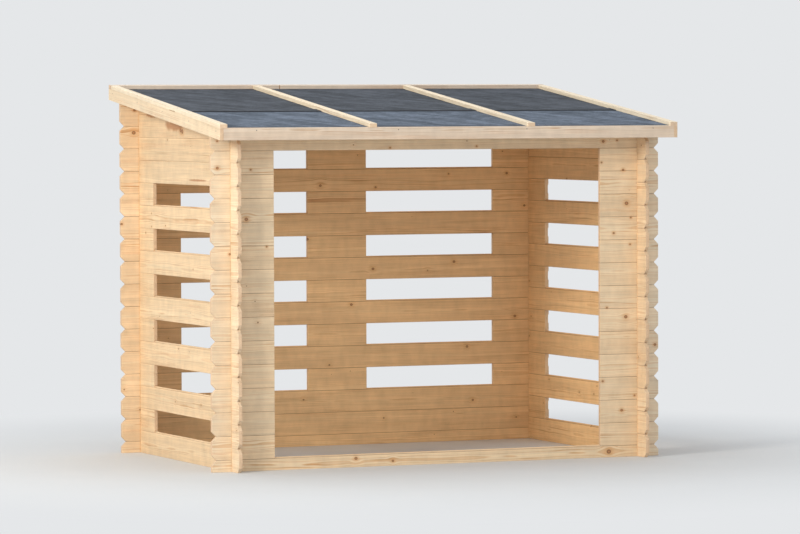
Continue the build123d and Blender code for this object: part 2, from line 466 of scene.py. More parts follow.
@dataclass(frozen=True)
class SpruceFinish:
    """Planed spruce, as a log board or as trim.

    Attributes:
        name: Name of the material.
        grain: Direction of the fibres.
        stack: Direction in which one board follows the next.
        first_edge: Where the first board starts, along the stack.
        board_height: Width of a board along the stack, in metres.
        heart: Where the middle of the boards' thickness lies.
        seed: Number that sets this timber apart from the other pieces.
        tilt_deg: Slope of the fibres, up towards the back.
        early: Tone of the wide pale part of a growth ring.
        late: Tone of the narrow darker part.
        joint_shade: How dark the thin shadow in the V-joints is, 0 for none.
        corners: Where the logs cross the walls at their two ends, beyond which
        painted sunlight makes them paler.
        knots: Knots at known places, besides those spread by chance.
        stains: Brown patches at known places.
        knot_step: Length of board that holds one knot by chance.
        knot_radius: Half the width of the largest knot by chance.
    """

    name: str
    grain: Axis
    stack: Axis = Axis.UP
    first_edge: float = 0.0
    board_height: float = COURSE
    heart: float = 0.0
    seed: float = 0.0
    tilt_deg: float = 0.0
    early: Tone = Tone(241, 215, 176)
    late: Tone = Tone(207, 156, 102)
    joint_shade: float = 0.0
    corners: Optional[tuple[float, float]] = None
    knots: tuple[Knot, ...] = ()
    stains: tuple[Stain, ...] = ()
    knot_step: float = 0.30
    knot_radius: float = 0.0105

    KNOT_CORE = Tone(174, 124, 82)
    KNOT_RIM = Tone(114, 74, 48)
    HALO = Tone(214, 160, 104)
    # Tone of the painted shadow in the V-joints.
    JOINT = Tone(122, 80, 48)
    END_GRAIN = Tone(221, 183, 148)
    # Tone of the painted sunlight on the log ends beyond the corners.
    PAINTED_SUNLIT_END = Tone(240, 227, 204)
    RESIN = Tone(176, 112, 62)
    HONEY = Tone(232, 190, 140)

    FIBRE = Figure(
        5.0, 330.0, step_through=9.0, rough=0.62, contrast=0.19, relief=0.00009
    )
    STREAK = Figure(
        1.6, 46.0, step_across=5.0, detail=2.0, contrast=0.18, relief=0.00012
    )
    PATCH = Figure(17.0, 9.0, step_across=3.0, contrast=0.15)
    VEIN = Figure(2.3, 26.0, step_across=7.0)

    # Brightness of the wood, and how far it differs from board to board.
    BRIGHTNESS = 0.99
    BOARD_CONTRAST = 0.05
    # How far the grain of one board is shifted against that of the next, in metres.
    BOARD_SHIFT = 9.0
    # How squarely a surface faces along the grain where end grain sets in and
    # where it is full.
    END_GRAIN_FACING = (0.5, 0.9)
    # Noise from which a vein starts, and at which it is full.
    VEIN_FADE = (0.53, 0.70)
    # Painted sunlight on the log ends: its edge beyond the corner, in metres, and
    # its strength.
    PAINTED_SUN_FADE = (-0.006, 0.012)
    PAINTED_SUN_SHARE = 0.60
    # Stains: how far their edges are frayed and where they fade, in shares of
    # their own size, and their strength.
    STAIN_FRAY = 0.5
    STAIN_FADE = (0.55, 1.15)
    STAIN_SHARE = 0.72
    # V-joints, by the distance from a board's edge in metres: where the painted shadow
    # fades, where the painted highlight on the crest starts and stops, and its
    # strength.
    JOINT_FADE = (0.0002, 0.0022)
    GLEAM_START = (0.0018, 0.0030)
    GLEAM_STOP = (0.0050, 0.0085)
    GLEAM = 0.07

    # Growth rings, in metres: their width and relief, the depth of their heart
    # behind the board, how far it strays across, and how the rings waver.
    RING_WIDTH = 0.0036
    RING_RELIEF = 0.00006
    HEART_DEPTH = (0.022, 0.075)
    HEART_STRAY = 0.045
    RING_WANDER = 0.03
    RING_RIPPLE = 0.0032
    # Within one ring: where late wood sets in, where it breaks off, and how strong
    # the weakest is.
    LATE_ONSET = (0.25, 0.88)
    LATE_BREAK = (0.9, 1.0)
    WEAKEST_LATE = 0.45

    # Knots by chance: share of board lengths without one, share of a board's
    # width that they keep to, how far they stray along it, the factor that brings
    # the largest to its full width, and how deep they are sunk, in metres.
    NO_KNOT = 0.30
    KNOT_BAND = 0.74
    KNOT_STRAY = 0.11
    KNOT_GROWTH = 2.04
    KNOT_DENT = 0.00015
    # Weight of the squared distance along the grain, which makes the knots long.
    KNOT_LENGTHENING = 0.72
    # Added to a knot's radius and to the reach of its lead, in metres, so that
    # neither is zero.
    LEAST_RADIUS = 0.0003
    LEAST_LEAD = 0.001
    # How a knot's edge and its lighter core fade in, from its edge to its middle,
    # and its strength.
    KNOT_EDGE = (0.02, 0.30)
    KNOT_HEART = (0.25, 0.75)
    KNOT_SHARE = 0.88
    # The stained wood round a knot: its reach and the size of knot that has it, in
    # metres, and its fading round a known knot, in the knot's own radii.
    HALO_REACH = 0.030
    HALO_SIZES = (0.001, 0.009)
    KNOWN_HALO = (0.6, 3.0)
    # How strongly the grain is led round a knot, over how many radii, and from
    # what radius on round a known knot.
    GRAIN_LEAD = 0.8
    LEAD_RADII = 7.0
    KNOWN_LEAD_RADII = 6.0
    LEADING_RADIUS = 0.006
    # Known knots: height over width, and the distance from their middle, in
    # their own radii, past which they don't matter.
    KNOT_FLATNESS = 0.88
    FAR_FROM_KNOTS = 9.0

    def build(self) -> bpy.types.Material:
        """Return the material with grain, rings, knots and end grain."""
        graph = FinishGraph(self.name)
        spot, ends = self._spot(graph)
        marks, halo, bent = self._known_knots(spot, *self._knots(spot))
        rings = self._rings(spot, bent)
        fibre = self.FIBRE.draw(spot)
        streak = self.STREAK.draw(spot)
        patch = self.PATCH.draw(spot)
        vein = self.VEIN.draw(spot).rise(*self.VEIN_FADE)

        # Pale wood, with painted sunlight on the log ends beyond the corners.
        timber = self._painted_sunlit_ends(spot)
        # Each tone is laid over the ones before it, by its share of the surface.
        layers = (
            (rings * vein.spread(0.56, 1.0), self.late),
            (rings * vein * 0.50, self.RESIN),
            (spot.luck[1] * 0.20, self.HONEY),
            (ends * 0.62, self.END_GRAIN),
            (halo * 0.55, self.HALO),
        )
        for share, tone in layers:
            timber = graph.blend(share, timber, tone)
        timber = self._stained(spot, patch, timber)
        shade = (
            fibre.swing(self.FIBRE.contrast)
            + streak.swing(self.STREAK.contrast)
            + patch.swing(self.PATCH.contrast)
            + spot.luck[2].swing(self.BOARD_CONTRAST)
            + self.BRIGHTNESS
        )
        if self.joint_shade:
            timber, shade = self._jointed(spot, timber, shade)
        knot = marks.rise(*self.KNOT_EDGE)
        core = marks.rise(*self.KNOT_HEART)
        knot_tone = graph.blend(core, self.KNOT_RIM, self.KNOT_CORE)
        timber = graph.shade(timber, shade)
        timber = graph.blend(knot * self.KNOT_SHARE, timber, knot_tone)

        height = (
            rings * self.RING_RELIEF
            + fibre * self.FIBRE.relief
            + streak * self.STREAK.relief
            - knot * self.KNOT_DENT
        )
        surface = graph.surface(
            {
                "Base Color": timber,
                "Roughness": 0.60 - rings * 0.06 + fibre.swing(0.06) + ends * 0.15,
                "Normal": graph.relief(height),
                "Specular IOR Level": 0.35,
            }
        )
        return graph.close(surface)

    def _spot(self, graph: FinishGraph) -> tuple[BoardSpot, Signal]:
        """Find where a point lies in its board.

        Args:
            graph: The finish.

        Returns:
            The spot, and how far the surface is end grain, from 0 to 1.
        """
        place = graph.place()
        facing = graph.node("ShaderNodeNewGeometry").of("Normal")
        if self.tilt_deg:
            turn = (math.radians(-self.tilt_deg), 0.0, 0.0)
            place, facing = (
                graph.node("ShaderNodeMapping", None, {"Vector": way, "Rotation": turn})
                for way in (place, facing)
            )
        run, up = self.grain.value, self.stack.value
        parts = graph.split(place)
        rows = (parts[up] - self.first_edge) / self.board_height
        row = rows.floor()
        luck = graph.chance(graph.vector(row, self.seed, 3.7))
        spot = BoardSpot(
            graph=graph,
            along=parts[run],
            shifted=parts[run] + luck[0] * self.BOARD_SHIFT,
            level=parts[up],
            row=row,
            across=(rows - row - 0.5) * self.board_height,
            through=parts[3 - run - up] - self.heart,
            luck=luck,
        )
        return spot, graph.split(facing)[run].size().rise(*self.END_GRAIN_FACING)

    def _painted_sunlit_ends(self, spot: BoardSpot) -> Union[Tone, Signal]:
        """Return the pale wood's tone, with painted sunlight beyond the corners.

        Args:
            spot: The point in its board.

        Returns:
            One tone, or a colour that changes at the corners.
        """
        if not self.corners:
            return self.early
        half = (self.corners[1] - self.corners[0]) / 2
        beyond = (spot.along - self.corners[0] - half).size() - half
        share = beyond.rise(*self.PAINTED_SUN_FADE) * self.PAINTED_SUN_SHARE
        return spot.graph.blend(share, self.early, self.PAINTED_SUNLIT_END)

    def _stained(self, spot: BoardSpot, patch: Signal, timber: Signal) -> Signal:
        """Lay the brown patches over the timber.

        Args:
            spot: The point in its board.
            patch: Noise that frays the patches' edges.
            timber: Colour of the timber so far.

        Returns:
            The timber with its stains.
        """
        for stain in self.stains:
            side = (spot.along - stain.along) / stain.half_length
            above = (spot.level - stain.height) / stain.half_height
            reach = (side * side + above * above).root() + patch.swing(self.STAIN_FRAY)
            brown = 1.0 - reach.rise(*self.STAIN_FADE)
            timber = spot.graph.blend(brown * self.STAIN_SHARE, timber, self.RESIN)
        return timber

    def _jointed(
        self, spot: BoardSpot, timber: Signal, shade: Signal
    ) -> tuple[Signal, Signal]:
        """Paint a thin shadow in each V-joint and a highlight on the crest below it.

        Args:
            spot: The point in its board.
            timber: Colour of the timber so far.
            shade: Brightness of the timber so far.

        Returns:
            The colour and the brightness with the joints.
        """
        half = 0.5 * self.board_height
        crest = half - spot.across
        # A painted highlight on the crest under each joint, and a painted shadow in it.
        gleam = crest.rise(*self.GLEAM_START) * (1.0 - crest.rise(*self.GLEAM_STOP))
        joint = 1.0 - (half - spot.across.size()).rise(*self.JOINT_FADE)
        timber = spot.graph.blend(joint * self.joint_shade, timber, self.JOINT)
        return timber, shade + gleam * self.GLEAM

    def _rings(self, spot: BoardSpot, bent: Signal) -> Signal:
        """Draw growth rings as long cones round a heart outside the board.

        Args:
            spot: The point in its board.
            bent: Place across the board, with the grain led round the knots.

        Returns:
            How much late wood there is, from 0 to 1.
        """
        graph, along, luck = spot.graph, spot.shifted, spot.luck
        wander = graph.cloud(graph.vector(along * 0.8, luck[1] * 30.0, 0.5), 1.0)
        ripple = graph.cloud(
            graph.vector(along * 3.2, bent * 16.0, spot.through * 16.0), 2.0
        )
        side = bent - luck[1].swing(self.HEART_STRAY) - wander.swing(self.RING_WANDER)
        depth = spot.through + luck[2].spread(*self.HEART_DEPTH)
        far = (side * side + depth * depth).root()
        steps = (far + ripple.swing(self.RING_RIPPLE)) / self.RING_WIDTH
        saw = steps.fraction()
        uneven = graph.chance(graph.vector(steps.floor(), luck[0] * 5.0, self.seed))
        late = saw.rise(*self.LATE_ONSET) * (1.0 - saw.rise(*self.LATE_BREAK))
        return late * uneven[0].spread(self.WEAKEST_LATE, 1.0)

    def _knots(self, spot: BoardSpot) -> tuple[Signal, Signal, Signal]:
        """Spread knots by chance, at most one on each step of a board.

        Args:
            spot: The point in its board.

        Returns:
            The knot itself, the stained wood round it, and the place across the
            board with the grain led round the knots.
        """
        graph = spot.graph
        step = spot.along / self.knot_step
        cell = step.floor()
        luck = graph.chance(graph.vector(cell, spot.row, self.seed + 11.3))
        stray_across = 0.5 * self.KNOT_BAND * min(self.board_height, COURSE)
        beside = (step - cell - 0.5) * self.knot_step - luck[0].swing(self.KNOT_STRAY)
        above = spot.across - luck[1].swing(stray_across)
        chosen = (luck[2] - self.NO_KNOT).larger(0.0)
        wide = chosen * chosen * (self.knot_radius * self.KNOT_GROWTH)
        gap = (beside * beside * self.KNOT_LENGTHENING + above * above).root()
        marks = (1.0 - gap / (wide + self.LEAST_RADIUS)).larger(0.0)
        halo = (1.0 - gap.rise(0.0, self.HALO_REACH)) * wide.rise(*self.HALO_SIZES)
        lead = 1.0 - gap.rise(0.0, wide * self.LEAD_RADII + self.LEAST_LEAD)
        return marks, halo, spot.across - above * lead * self.GRAIN_LEAD

    def _known_knots(
        self, spot: BoardSpot, marks: Signal, halo: Signal, bent: Signal
    ) -> tuple[Signal, Signal, Signal]:
        """Add the knots at known places to those by chance.

        Args:
            spot: The point in its board.
            marks: The knots by chance.
            halo: The stained wood round them.
            bent: The place across the board, led round them.

        Returns:
            The same three with the known knots.
        """
        if not self.knots:
            return marks, halo, bent
        height = (spot.row + 0.5) * self.board_height + self.first_edge + spot.across
        point = spot.graph.vector(spot.along * self.KNOT_FLATNESS, height, 0.0)
        near: Feed = self.FAR_FROM_KNOTS
        for knot in self.knots:
            middle = (knot.along * self.KNOT_FLATNESS, knot.height, 0.0)
            gap = spot.graph.node(
                "ShaderNodeVectorMath",
                {"operation": "DISTANCE"},
                {"Vector": point, "Vector_001": middle},
            )
            near = (gap / knot.radius).smaller(near)
            if knot.radius > self.LEADING_RADIUS:
                lead = 1.0 - gap.rise(0.0, knot.radius * self.KNOWN_LEAD_RADII)
                bent = bent - (height - knot.height) * lead * self.GRAIN_LEAD
        halo = halo.larger(1.0 - near.rise(*self.KNOWN_HALO))
        return marks.larger(1.0 - near), halo, bent


@dataclass(frozen=True)
class FeltFinish:
    """Mineral roofing felt: slate granules on a bitumen sheet.

    Attributes:
        name: Name of the material.
        slate: Main tone of the granules.
        pale: Tone where the granules are worn or dusty.
        lap: Where the edge of the upper strip lies, front to back.
        front: Where the felt meets the fascia.
        seed: Number that sets one strip apart from the other.
    """

    name: str
    slate: Tone
    pale: Tone
    lap: float
    front: float
    seed: float

    BITUMEN = Tone(38, 40, 44)
    GRANULES_A_METRE = 430.0
    GRANULE_RELIEF = 0.0003
    RIPPLE_RELIEF = 0.0060
    CREASE_RELIEF = 0.0008
    # Brightness of the felt, how far it differs from granule to granule, the luck
    # at which a granule glints, and how much brighter it is then.
    BRIGHTNESS = 0.99
    GRANULE_CONTRAST = 0.26
    GLINTING = (0.90, 0.98)
    GLINT = 0.6
    # Bitumen bleed and painted shadow along the lap, and painted shadow in the gutter
    # behind the fascia: how far it reaches along the lap, and in the gutter as a share
    # of that, where its edges fade, in metres, and how dark it is in both places.
    BLEED = (0.004, 0.030)
    GUTTER_BLEED = 0.7
    LAP_FADE = (-0.006, 0.004)
    GUTTER_FADE = (0.004, 0.016)
    LAP_DARKNESS = 0.78
    GUTTER_DARKNESS = 0.62

    def build(self) -> bpy.types.Material:
        """Return the material with granules, dust, ripples, a dark lap of bitumen bleed
        and painted shadow, and painted shadow behind the fascia.
        """
        graph = FinishGraph(self.name)
        place = graph.place()
        x, y, z = graph.split(place)
        grit = graph.node(
            "ShaderNodeTexVoronoi",
            {"feature": "F1", "voronoi_dimensions": "3D"},
            {"Vector": place, "Scale": self.GRANULES_A_METRE},
        )
        speck = graph.split(grit.of("Color"))
        felt = graph.blend(self._dust(graph, x, y, z), self.slate, self.pale)
        # Bitumen bleed and painted shadow along the lap, and painted shadow behind the
        # fascia.
        felt = graph.blend(self._bleed_and_painted_shadow(graph, x, y), felt, self.BITUMEN)
        level = (
            speck[0].swing(self.GRANULE_CONTRAST)
            + speck[1].rise(*self.GLINTING) * self.GLINT
            + self.BRIGHTNESS
        )
        ripple = graph.cloud(graph.vector(x * 1.1, y * 5.0, self.seed + 4.0))
        crease = graph.cloud(
            graph.vector(x * 5.0 + y * 9.0, y * 26.0, self.seed + 7.0)
        )
        height = (
            ripple * self.RIPPLE_RELIEF
            + crease * self.CREASE_RELIEF
            - grit.of("Distance") * self.GRANULE_RELIEF
        )
        surface = graph.surface(
            {
                "Base Color": graph.shade(felt, level),
                "Roughness": 0.80 + speck[2].swing(0.08),
                "Normal": graph.relief(height),
                "Specular IOR Level": 0.22,
            }
        )
        return graph.close(surface)

    def _dust(self, graph: FinishGraph, x: Signal, y: Signal, z: Signal) -> Signal:
        """Spread dust, worn patches and slanting streaks.

        Args:
            graph: The finish.
            x: Place sideways.
            y: Place front to back.
            z: Place upwards.

        Returns:
            How pale the granules are, from 0 up.
        """
        # Noise cells in a metre in each direction, and the detail of the noise.
        dust = graph.cloud(
            graph.vector(x * 19.0 + self.seed, y * 24.0, z * 3.0), 5.0, 0.70
        )
        sheet = graph.cloud(graph.vector(x * 2.4, y * 3.6, self.seed))
        wear = graph.cloud(
            graph.vector(x * 2.2 - y * 2.6, x * 8.0 + y * 7.0, self.seed + 2.0), 4.0
        )
        share = (
            dust.rise(0.30, 0.74) * 0.60
            + sheet.rise(0.30, 0.75) * 0.26
            + wear.rise(0.36, 0.68) * 0.48
            - 0.16
        )
        return share.larger(0.0)

    def _bleed_and_painted_shadow(self, graph: FinishGraph, x: Signal, y: Signal) -> Signal:
        """Darken the lap with bitumen bleed and painted shadow, and behind the fascia
        with painted shadow.

        Args:
            graph: The finish.
            x: Place sideways.
            y: Place front to back.

        Returns:
            How dark the felt is there, from 0 to 1.
        """
        bleed = graph.cloud(graph.vector(x * 30.0, y * 8.0, 2.0))
        reach = bleed.spread(*self.BLEED)
        lapped = 1.0 - ((y - self.lap).size() - reach).rise(*self.LAP_FADE)
        behind = y - self.front - reach * self.GUTTER_BLEED
        gutter = 1.0 - behind.rise(*self.GUTTER_FADE)
        return (lapped * self.LAP_DARKNESS).larger(gutter * self.GUTTER_DARKNESS)


@dataclass(frozen=True)
class NailFinish:
    """Dull galvanised steel, browner where the zinc is thin.

    Attributes:
        name: Name of the material.
        zinc: Tone of the sound zinc.
        dull: Tone where it is thin.
        blots: Noise cells in a metre.
    """

    name: str = "nail_steel"
    zinc: Tone = Tone(120, 118, 116)
    dull: Tone = Tone(84, 66, 52)
    blots: float = 420.0

    def build(self) -> bpy.types.Material:
        """Return the material with uneven zinc."""
        graph = FinishGraph(self.name)
        x, y, z = (way * self.blots for way in graph.split(graph.place()))
        blot = graph.cloud(graph.vector(x, y, z), 3.0)
        surface = graph.surface(
            {
                "Base Color": graph.blend(blot.rise(0.4, 0.7), self.zinc, self.dull),
                "Metallic": 1.0 - blot.rise(0.45, 0.75) * 0.7,
                "Roughness": blot.spread(0.38, 0.66),
                "Normal": graph.relief(blot * 0.0001),
            }
        )
        return graph.close(surface)


class ShapeGraph(NodeGraph):
    """The nodes of one Geometry Nodes tree, with its named inputs."""

    KINDS = {
        float: "NodeSocketFloat",
        int: "NodeSocketInt",
        tuple: "NodeSocketVector",
        bpy.types.Material: "NodeSocketMaterial",
    }

    def __init__(self, name: str, inputs: Mapping[str, Any]) -> None:
        """Start a tree.

        Args:
            name: Name of the tree.
            inputs: Names of its inputs, each with the value that it gets.
        """
        super().__init__(bpy.data.node_groups.new(name, "GeometryNodeTree"))
        self.values = dict(inputs)
        sockets = self.tree.interface
        sockets.new_socket("Shape", in_out="OUTPUT", socket_type="NodeSocketGeometry")
        for label, value in inputs.items():
            kind = next(k for t, k in self.KINDS.items() if isinstance(value, t))
            sockets.new_socket(label, in_out="INPUT", socket_type=kind)
        self.entry = self.node("NodeGroupInput")

    def given(self, label: str) -> Signal:
        """Return a named input of the tree."""
        return self.entry.of(label)

    def plain_mesh(self, name: str, shape: Signal) -> bpy.types.Object:
        """Close the tree, run it, and keep the result as a plain mesh.

        Args:
            name: Name of the finished piece.
            shape: The geometry, without its material yet.

        Returns:
            The piece, at the origin and with no modifier.
        """
        real = self.node("GeometryNodeRealizeInstances", None, {"Geometry": shape})
        dressed = self.node(
            "GeometryNodeSetMaterial",
            None,
            {"Geometry": real, "Material": self.given("Finish")},
        )
        self.node("NodeGroupOutput", None, {"Shape": dressed})
        carrier = bpy.data.objects.new(name, bpy.data.meshes.new(name + "_seed"))
        bpy.context.scene.collection.objects.link(carrier)
        modifier = carrier.modifiers.new("shape", "NODES")
        modifier.node_group = self.tree
        for item in self.tree.interface.items_tree:
            if item.in_out == "INPUT":
                modifier[item.identifier] = self.values[item.name]
        ready = carrier.evaluated_get(bpy.context.evaluated_depsgraph_get())
        mesh = bpy.data.meshes.new_from_object(ready)
        mesh.name = name
        carrier.modifiers.clear()
        carrier.data = mesh
        return carrier


@dataclass
class NailRow:
    """A straight row of nails.

    Attributes:
        start: Place of the first nail.
        end: Place of the last nail.
        count: How many nails there are.
        tilt: Turn about the sideways, front-to-back and up axes, in degrees.
    """

    start: Triple
    end: Triple
    count: int
    tilt: Triple


@dataclass
class Nailing:
    """Nails that hold one kind of trim.

    Attributes:
        name: Name of the piece.
        rows: The rows of nails.
        seed: Fixed seed of the straying.
        head_radius: Half the width of a head, in metres.
        head_rise: How far a head stands proud.
        wander: How far a nail strays from its row.
    """

    name: str
    rows: list[NailRow]
    seed: int
    head_radius: float = 0.0034
    head_rise: float = 0.0003
    wander: float = 0.006

    # Shape of a head: width of its flat over its own width, number of its sides,
    # and buried depth over its rise.
    FLAT = 0.72
    SIDES = 12
    BURIED = 4.0

    def build(self, finish: bpy.types.Material) -> bpy.types.Object:
        """Make the nails and let them ride on the store.

        Args:
            finish: Their steel.

        Returns:
            The finished piece.
        """
        graph = ShapeGraph(
            self.name + "_tree",
            {
                "Head Radius": self.head_radius,
                "Head Rise": self.head_rise,
                "Wander": self.wander,
                "Seed": self.seed,
                "Finish": finish,
            },
        )
        head = self._head(graph)
        rows = [self._row(graph, head, number) for number in range(len(self.rows))]
        joined = graph.node("GeometryNodeJoinGeometry", None, {"Geometry": rows})
        piece = graph.plain_mesh(self.name, joined)
        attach(piece, "root")
        return piece

    def _head(self, graph: ShapeGraph) -> Signal:
        """Make one head: a low cone with a broad flat top.

        Args:
            graph: The tree.

        Returns:
            The head's geometry, most of it under the surface.
        """
        radius, rise = graph.given("Head Radius"), graph.given("Head Rise")
        cone = graph.node(
            "GeometryNodeMeshCone",
            {"fill_type": "NGON"},
            {
                "Vertices": self.SIDES,
                "Radius Top": radius * self.FLAT,
                "Radius Bottom": radius,
                "Depth": rise * (self.BURIED + 1.0),
            },
        )
        sunk = graph.vector(0.0, 0.0, rise * -self.BURIED)
        return graph.node(
            "GeometryNodeTransform", None, {"Geometry": cone, "Translation": sunk}
        )

    def _row(self, graph: ShapeGraph, head: Signal, number: int) -> Signal:
        """Set one row of heads.

        Args:
            graph: The tree.
            head: One nail head.
            number: Which of the rows it is.

        Returns:
            The row's geometry.
        """
        row = self.rows[number]
        line = graph.node(
            "GeometryNodeMeshLine",
            {"mode": "END_POINTS", "count_mode": "TOTAL"},
            {"Count": row.count, "Start Location": row.start, "Offset": row.end},
        )
        course = Vector(row.end) - Vector(row.start)
        stray = graph.node(
            "FunctionNodeRandomValue",
            {"data_type": "FLOAT"},
            {
                "Min": graph.given("Wander") * -1.0,
                "Max": graph.given("Wander"),
                "Seed": graph.given("Seed") + float(number),
            },
        )
        shift = graph.node(
            "ShaderNodeVectorMath",
            {"operation": "SCALE"},
            {"Vector": tuple(course.normalized()), "Scale": stray},
        )
        strayed = graph.node(
            "GeometryNodeSetPosition", None, {"Geometry": line, "Offset": shift}
        )
        turn = tuple(math.radians(angle) for angle in row.tilt)
        return graph.node(
            "GeometryNodeInstanceOnPoints",
            None,
            {"Points": strayed, "Instance": head, "Rotation": turn},
        )


@dataclass
class RoofBoards:
    """The boarding under the felt, laid from front to back.

    Attributes:
        corner: Lower front left corner of the boarding.
        width: Width of the whole roof.
        slope_length: Length of a board along the slope.
        thickness: Thickness of a board.
        count: Number of boards.
        ease: Size of the small chamfers along each board.
    """

    corner: Triple
    width: float
    slope_length: float
    thickness: float = 0.016
    count: int = 26
    ease: float = 0.0028

    @classmethod
    def from_frame(cls) -> "RoofBoards":
        """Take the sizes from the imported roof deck."""
        low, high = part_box("roof_deck")
        pitch = math.radians(ROOF_PITCH_DEG)
        lean = cls.thickness * math.sin(pitch)
        length = (high.y - low.y - lean) / math.cos(pitch)
        return cls((low.x, low.y + lean, low.z), high.x - low.x, length)

    def build(self, finish: bpy.types.Material) -> bpy.types.Object:
        """Make the boards in the place of the plain deck.

        Args:
            finish: The boards' timber.

        Returns:
            The finished piece.
        """
        graph = ShapeGraph(
            "roof_boards_tree",
            {
                "Board Width": self.width / self.count,
                "Thickness": self.thickness,
                "Length": self.slope_length,
                "Count": self.count,
                "Ease": self.ease,
                "Corner": self.corner,
                "Pitch": math.radians(ROOF_PITCH_DEG),
                "Finish": finish,
            },
        )
        width, thickness = graph.given("Board Width"), graph.given("Thickness")
        outline = graph.node(
            "GeometryNodeCurvePrimitiveQuadrilateral",
            {"mode": "RECTANGLE"},
            {"Width": width, "Height": thickness},
        )
        eased = graph.node(
            "GeometryNodeFilletCurve",
            {"mode": "POLY"},
            {"Curve": outline, "Count": 1, "Radius": graph.given("Ease")},
        )
        path = graph.node(
            "GeometryNodeCurvePrimitiveLine",
            {"mode": "POINTS"},
            {
                "Start": (0.0, 0.0, 0.0),
                "End": graph.vector(0.0, graph.given("Length"), 0.0),
            },
        )
        board = graph.node(
            "GeometryNodeCurveToMesh",
            None,
            {"Curve": path, "Profile Curve": eased, "Fill Caps": True},
        )
        places = graph.node(
            "GeometryNodeMeshLine",
            {"mode": "OFFSET"},
            {
                "Count": graph.given("Count"),
                "Start Location": graph.vector(width * 0.5, 0.0, thickness * 0.5),
                "Offset": graph.vector(width, 0.0, 0.0),
            },
        )
        laid = graph.node(
            "GeometryNodeInstanceOnPoints", None, {"Points": places, "Instance": board}
        )
        raised = graph.node(
            "GeometryNodeTransform",
            None,
            {
                "Geometry": laid,
                "Translation": graph.given("Corner"),
                "Rotation": graph.vector(graph.given("Pitch"), 0.0, 0.0),
            },
        )
        piece = graph.plain_mesh("roof_boards", raised)
        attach(piece, "root")
        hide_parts("roof_deck")
        return piece


def ease_arrises(node: bpy.types.Object, width: float) -> None:
    """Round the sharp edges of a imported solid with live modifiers.

    Args:
        node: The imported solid's object.
        width: How far the rounding reaches from an edge, in metres.
    """
    weld = node.modifiers.new("join", "WELD")
    weld.merge_threshold = WELD_GAP
    flat = node.modifiers.new("flatten", "DECIMATE")
    flat.decimate_type = "DISSOLVE"
    flat.angle_limit = math.radians(FLAT_DEG)
    ease = node.modifiers.new("ease", "BEVEL")
    ease.width = width
    ease.segments = 2
    ease.limit_method = "ANGLE"
    ease.angle_limit = math.radians(SHARP_DEG)
    soft = node.modifiers.new("even", "WEIGHTED_NORMAL")
    soft.keep_sharp = False


def dress(node: bpy.types.Object, finish: bpy.types.Material) -> None:
    """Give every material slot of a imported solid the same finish.

    Args:
        node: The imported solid's object.
        finish: The finish.
    """
    if not node.material_slots:
        node.data.materials.append(finish)
    for slot in node.material_slots:
        slot.material = finish


@dataclass
class LogWall:
    """Log boards of one wall that share a direction and a set of courses.

    Attributes:
        members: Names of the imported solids.
        timber: The wall's spruce, with the seed of its first member and with all
            the knots and stains known of it.
        arris: How far the edges are rounded, in metres.
    """

    members: tuple[str, ...]
    timber: SpruceFinish
    arris: float = 0.0012

    SEED_STEP = 1.7

    def build(self, nodes: Mapping[str, bpy.types.Object]) -> None:
        """Dress the solids, each in timber of its own.

        Args:
            nodes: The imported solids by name.
        """
        run = self.timber.grain.value
        for number, name in enumerate(self.members):
            low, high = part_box(name)
            knots, stains = (
                tuple(
                    mark
                    for mark in marks
                    if low[run] < mark.along < high[run]
                    and low.z < mark.height < high.z
                )
                for marks in (self.timber.knots, self.timber.stains)
            )
            finish = replace(
                self.timber,
                name="spruce_" + name,
                heart=((low + high) / 2)[1 - run],
                seed=self.timber.seed + number * self.SEED_STEP,
                knots=knots,
                stains=stains,
            )
            dress(nodes[name], finish.build())
            ease_arrises(nodes[name], self.arris)
            LOG.info("log boards: %s", name)


@dataclass
class Trim:
    """A planed board or batten of the roof.

    Attributes:
        name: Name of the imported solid.
        grain: Direction of the board.
        stack: Direction across its face.
        tilted: Whether it lies along the slope.
        early: Tone of its pale wood.
        late: Tone of its darker grain.
        split: Width of the cells that hold one batten each, 0 for one board.
        arris: How far the edges are rounded, in metres.
    """

    name: str
    grain: Axis
    stack: Axis
    tilted: bool
    early: Tone
    late: Tone
    split: float = 0.0
    arris: float = 0.0015

    # A cell wider than any trim, which holds a lone board in its middle, and the
    # margin before the first of several battens.
    WIDE_CELL = 1.5
    CELL_MARGIN = 0.02

    def build(self, nodes: Mapping[str, bpy.types.Object], seed: float) -> None:
        """Dress the solid.

        Args:
            nodes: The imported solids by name.
            seed: Number of this piece's timber.
        """
        low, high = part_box(self.name)
        middle = (low + high) / 2
        across = self.stack.value
        first_edge = middle[across] - self.WIDE_CELL / 2
        if self.split:
            first_edge = low[across] - self.CELL_MARGIN
        finish = SpruceFinish(
            name="spruce_" + self.name,
            grain=self.grain,
            stack=self.stack,
            first_edge=first_edge,
            board_height=self.split or self.WIDE_CELL,
            heart=middle[3 - self.grain.value - across],
            seed=seed,
            tilt_deg=ROOF_PITCH_DEG if self.tilted else 0.0,
            early=self.early,
            late=self.late,
            knot_step=0.62,
            knot_radius=0.0038,
        )
        dress(nodes[self.name], finish.build())
        ease_arrises(nodes[self.name], self.arris)
        LOG.info("trim: %s", self.name)


@dataclass(frozen=True)
class Lamp:
    """A square soft lamp that looks at the middle of the store.

    Attributes:
        name: Name of the lamp.
        place: Where it hangs.
        width: Width of the lamp.
        watts: Its power.
        colour: Colour of its light.
    """

    name: str
    place: Triple
    width: float
    watts: float
    colour: Triple

    MIDDLE = Vector((0.0, 0.0, 0.9))

    def build(self) -> None:
        """Hang the lamp."""
        data = bpy.data.lights.new(self.name, "AREA")
        data.energy = self.watts
        data.size = self.width
        data.color = self.colour
        lamp = bpy.data.objects.new(self.name, data)
        lamp.location = self.place
        aim = self.MIDDLE - Vector(self.place)
        lamp.rotation_euler = aim.to_track_quat("-Z", "Y").to_euler()
        bpy.context.scene.collection.objects.link(lamp)


